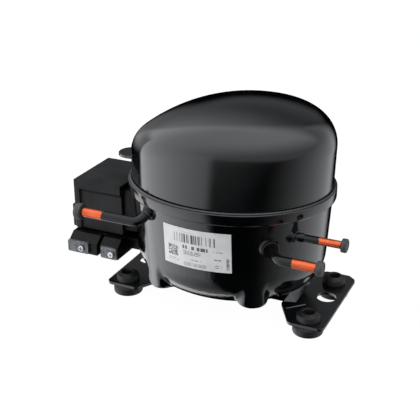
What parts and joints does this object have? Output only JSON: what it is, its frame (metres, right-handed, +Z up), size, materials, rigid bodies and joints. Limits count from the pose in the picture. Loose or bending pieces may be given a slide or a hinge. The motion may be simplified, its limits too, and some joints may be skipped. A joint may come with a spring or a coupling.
{
  "type": "hermetic reciprocating compressor",
  "caption": "Black hermetic refrigeration compressor: domed welded shell on rubber feet, copper stubs, side electrical box, sprung motor-pump unit inside",
  "frame": {"origin": "on the floor plane of the rubber feet, at the centre of the four-bolt base pattern", "axes": "+Z up along the crankshaft; +X along the shell's long axis towards the suction and discharge connectors; the rating label faces -Y"},
  "size_m": [0.2605, 0.1584, 0.1826],
  "materials": {
    "black_enamel": "gloss",
    "black_plate": "satin",
    "weld": "satin",
    "tube_copper": "satin",
    "black_rubber": "matte",
    "grey_rubber": "matte",
    "label_stock": "matte",
    "header_steel": "satin",
    "seal_glass": "gloss",
    "pin_metal": "satin",
    "box_plastic": "satin",
    "relay_plastic": "satin",
    "protector_case": "satin",
    "clamp_steel": "satin",
    "screw_chrome": "gloss",
    "lamination_steel": "satin",
    "enamelled_wire": "gloss",
    "zinc_steel": "satin",
    "cage_aluminium": "satin",
    "cast_iron": "matte",
    "ground_steel": "satin",
    "gasket_fibre": "matte",
    "reed_steel": "gloss",
    "head_alloy": "satin",
    "muffler_plastic": "satin",
    "pipe_steel": "satin",
    "spring_steel": "satin",
    "seat_plastic": "satin",
    "connector_plastic": "satin",
    "lead_insulation": "satin",
    "pickup_steel": "satin"
  },
  "bodies": {
    "shell": {"upper_shell": "black_enamel", "lower_shell": "black_enamel", "seam_weld": "weld", "shell_ear": "black_enamel", "suction_tube": "tube_copper", "discharge_tube": "tube_copper", "process_tube": "tube_copper", "tube_collars": "weld", "rating_label": "label_stock", "mounting_plate_right": "black_plate", "mounting_plate_left": "black_plate", "mounting_grommets": "black_rubber", "terminal_header": "header_steel", "terminal_glass_seals": "seal_glass", "terminal_pins": "pin_metal", "terminal_fence": "black_plate", "starting_relay": "relay_plastic", "overload_protector": "protector_case", "terminal_block": "box_plastic", "block_bracket": "black_plate", "lower_spring_seats": "seat_plastic", "suspension_springs": "spring_steel", "connector_block": "connector_plastic", "lead_wires": "lead_insulation", "discharge_shock_loop": "pipe_steel"},
    "pump_frame": {"cylinder_block": "cast_iron", "thrust_washer": "ground_steel", "stator_core": "lamination_steel", "stator_windings": "enamelled_wire", "stator_screws": "zinc_steel", "upper_spring_seats": "seat_plastic", "valve_plate_gasket": "gasket_fibre", "suction_reed_sheet": "reed_steel", "valve_plate": "ground_steel", "head_gasket": "gasket_fibre", "discharge_valve_stop": "zinc_steel", "cylinder_head": "head_alloy", "head_bolts": "zinc_steel", "suction_muffler": "muffler_plastic", "suction_neck": "muffler_plastic", "discharge_muffler": "cast_iron", "discharge_pipe": "pipe_steel"},
    "crankshaft": {"crankshaft": "ground_steel", "rotor_core": "lamination_steel", "rotor_cage": "cage_aluminium", "oil_pickup": "pickup_steel"},
    "slider_block": {"slider_block": "cast_iron"},
    "stroke_carrier": {"oil_gallery_plug": "ground_steel"},
    "piston": {"piston": "ground_steel", "cross_tube": "ground_steel"},
    "suction_reed": {"suction_reed": "reed_steel"},
    "discharge_reed": {"discharge_reed": "reed_steel"},
    "suction_plug": {"suction_plug": "grey_rubber"},
    "discharge_plug": {"discharge_plug": "grey_rubber"},
    "process_plug": {"process_plug": "grey_rubber"},
    "electrical_cover": {"electrical_cover": "box_plastic"},
    "wire_clamp_left": {"wire_clamp_left": "clamp_steel"},
    "clamp_screw_left": {"clamp_screw_left": "screw_chrome"},
    "wire_clamp_right": {"wire_clamp_right": "clamp_steel"},
    "clamp_screw_right": {"clamp_screw_right": "screw_chrome"}
  },
  "joints": [
    {"name": "pump_bounce", "type": "slide", "parent": "shell", "child": "pump_frame", "axis": [0, 0, 1], "range_m": [-0.002, 0.002], "stiffness_N_per_m": 12000, "springref_m": 0.00409, "deforming": ["suspension_springs", "discharge_shock_loop", "lead_wires"]},
    {"name": "crank_spin", "type": "hinge", "parent": "pump_frame", "child": "crankshaft", "pos_m": [0, 0, 0.1], "axis": [0, 0, 1], "continuous": true},
    {"name": "slider_turn", "type": "hinge", "parent": "crankshaft", "child": "slider_block", "pos_m": [0.008, 0, 0.134], "axis": [0, 0, 1], "continuous": true},
    {"name": "stroke_carrier", "type": "hinge", "parent": "crankshaft", "child": "stroke_carrier", "pos_m": [0.004, 0, 0.073], "axis": [0, 0, 1], "continuous": true},
    {"name": "piston_stroke", "type": "hinge", "parent": "stroke_carrier", "child": "piston", "pos_m": [0.008, 0, 0.134], "axis": [0, 0, 1], "continuous": true},
    {"name": "suction_reed_flex", "type": "hinge", "parent": "pump_frame", "child": "suction_reed", "pos_m": [0.0531, -0.0055, 0.1265], "axis": [0, -1, 0], "range_deg": [0, 4], "stiffness_Nm_per_rad": 0.02},
    {"name": "discharge_reed_flex", "type": "hinge", "parent": "pump_frame", "child": "discharge_reed", "pos_m": [0.0567, 0.0055, 0.125], "axis": [0, 1, 0], "range_deg": [0, 5], "stiffness_Nm_per_rad": 0.02},
    {"name": "suction_plug_pull", "type": "slide", "parent": "shell", "child": "suction_plug", "axis": [1, 0, 0], "range_m": [0, 0.04]},
    {"name": "discharge_plug_pull", "type": "slide", "parent": "shell", "child": "discharge_plug", "axis": [1, 0, 0], "range_m": [0, 0.04]},
    {"name": "process_plug_pull", "type": "slide", "parent": "shell", "child": "process_plug", "axis": [-1, 0, 0], "range_m": [0, 0.04]},
    {"name": "cover_pull", "type": "slide", "parent": "shell", "child": "electrical_cover", "axis": [-1, 0, 0], "range_m": [0, 0.06]},
    {"name": "clamp_left_advance", "type": "slide", "parent": "shell", "child": "wire_clamp_left", "axis": [0, -1, 0], "range_m": [0, 0.0014]},
    {"name": "clamp_screw_left_turn", "type": "hinge", "parent": "wire_clamp_left", "child": "clamp_screw_left", "pos_m": [-0.1265, -0.045, 0.037], "axis": [0, -1, 0], "range_deg": [0, 720]},
    {"name": "clamp_right_advance", "type": "slide", "parent": "shell", "child": "wire_clamp_right", "axis": [0, -1, 0], "range_m": [0, 0.0014]},
    {"name": "clamp_screw_right_turn", "type": "hinge", "parent": "wire_clamp_right", "child": "clamp_screw_right", "pos_m": [-0.096, -0.045, 0.037], "axis": [0, -1, 0], "range_deg": [0, 720]}
  ],
  "couplings": [
    {"joint": "slider_turn", "follows": "crank_spin", "ratio": -1},
    {"joint": "stroke_carrier", "follows": "crank_spin", "ratio": -2},
    {"joint": "piston_stroke", "follows": "crank_spin", "ratio": 1},
    {"joint": "clamp_screw_left_turn", "follows": "clamp_left_advance", "rad_per_m": 8975.9},
    {"joint": "clamp_screw_right_turn", "follows": "clamp_right_advance", "rad_per_m": 8975.9}
  ]
}
